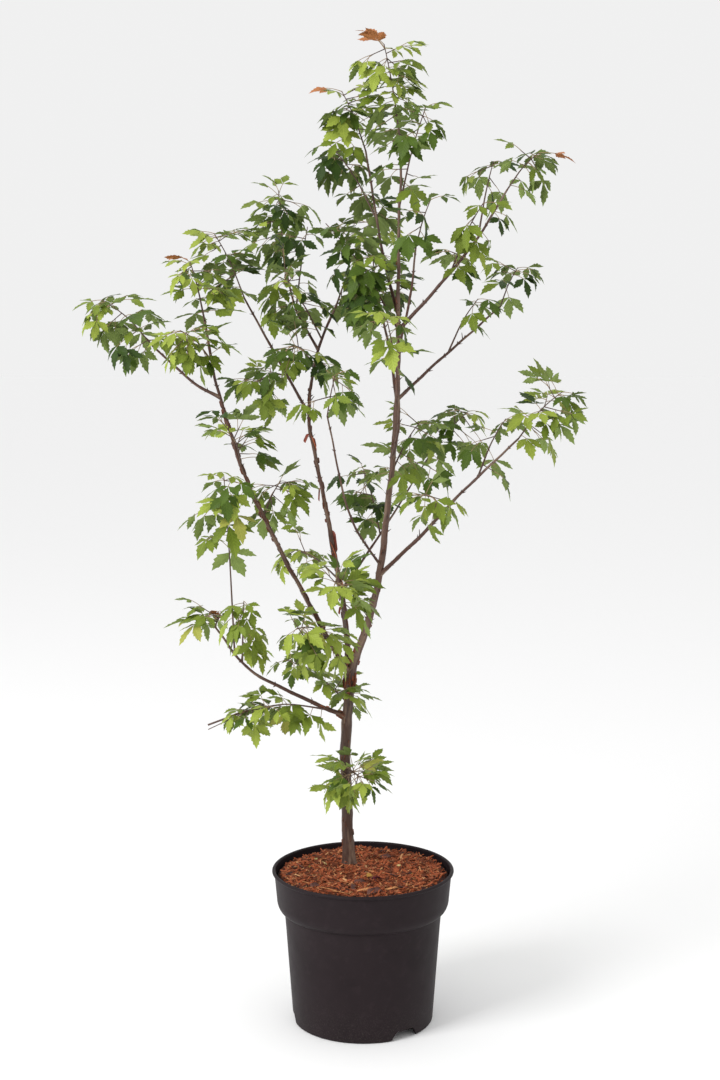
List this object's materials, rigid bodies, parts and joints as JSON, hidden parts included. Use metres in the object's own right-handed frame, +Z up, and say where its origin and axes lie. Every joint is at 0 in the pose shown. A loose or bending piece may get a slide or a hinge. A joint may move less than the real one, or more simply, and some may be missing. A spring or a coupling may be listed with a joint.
{
  "type": "potted paperbark maple tree",
  "caption": "Young open-crowned tree with lobed three-part leaves and peeling brown bark, growing in a round plastic nursery pot topped with bark mulch.",
  "frame": {"origin": "centre of the pot's flat underside, on the ground", "axes": "+Z up along the plant, -Y towards the front of the plant, +X to the right of the front"},
  "size_m": [0.9411, 0.6426, 1.869],
  "materials": {
    "pot": "matte, charcoal black",
    "mulch": "rough shredded bark",
    "bark": "satin, peeling in thin curls",
    "leaf": "matt, soft green"
  },
  "bodies": {
    "root": {"pot": "pot", "mulch": "mulch", "bough_back_high": "bark", "bough_cross": "bark", "bough_front_high": "bark", "bough_high_left": "bark", "bough_high_right": "bark", "bough_inner_left": "bark", "bough_inner_right": "bark", "bough_low_left": "bark", "bough_low_right": "bark", "bough_mid_right": "bark", "bough_outer_left": "bark", "bough_second_leader": "bark", "bough_thin_left": "bark", "stem_left": "bark", "stem_middle": "bark", "stem_right": "bark", "trunk": "bark", "leaves_back_high": "leaf", "leaves_between_left": "leaf", "leaves_cross": "leaf", "leaves_cross_inner": "leaf", "leaves_far_left": "leaf", "leaves_fork_left": "leaf", "leaves_front": "leaf", "leaves_front_high": "leaf", "leaves_heart": "leaf", "leaves_high_left": "leaf", "leaves_high_middle": "leaf", "leaves_high_right": "leaf", "leaves_high_right_middle": "leaf", "leaves_high_right_outer": "leaf", "leaves_inner_left": "leaf", "leaves_inner_right": "leaf", "leaves_leader_back": "leaf", "leaves_leader_front": "leaf", "leaves_left_inner": "leaf", "leaves_left_lower": "leaf", "leaves_left_upper": "leaf", "leaves_low_left": "leaf", "leaves_low_left_upper": "leaf", "leaves_low_middle": "leaf", "leaves_low_right": "leaf", "leaves_low_right_inner": "leaf", "leaves_low_right_middle": "leaf", "leaves_low_shoot": "leaf", "leaves_mid_right": "leaf", "leaves_mid_right_inner": "leaf", "leaves_middle_back": "leaf", "leaves_middle_front": "leaf", "leaves_middle_left": "leaf", "leaves_middle_top": "leaf", "leaves_rear": "leaf", "leaves_right_inner": "leaf", "leaves_sprout": "leaf", "leaves_stem_left": "leaf", "leaves_thin_left": "leaf", "leaves_top": "leaf", "leaves_top_left": "leaf"}
  },
  "joints": []
}
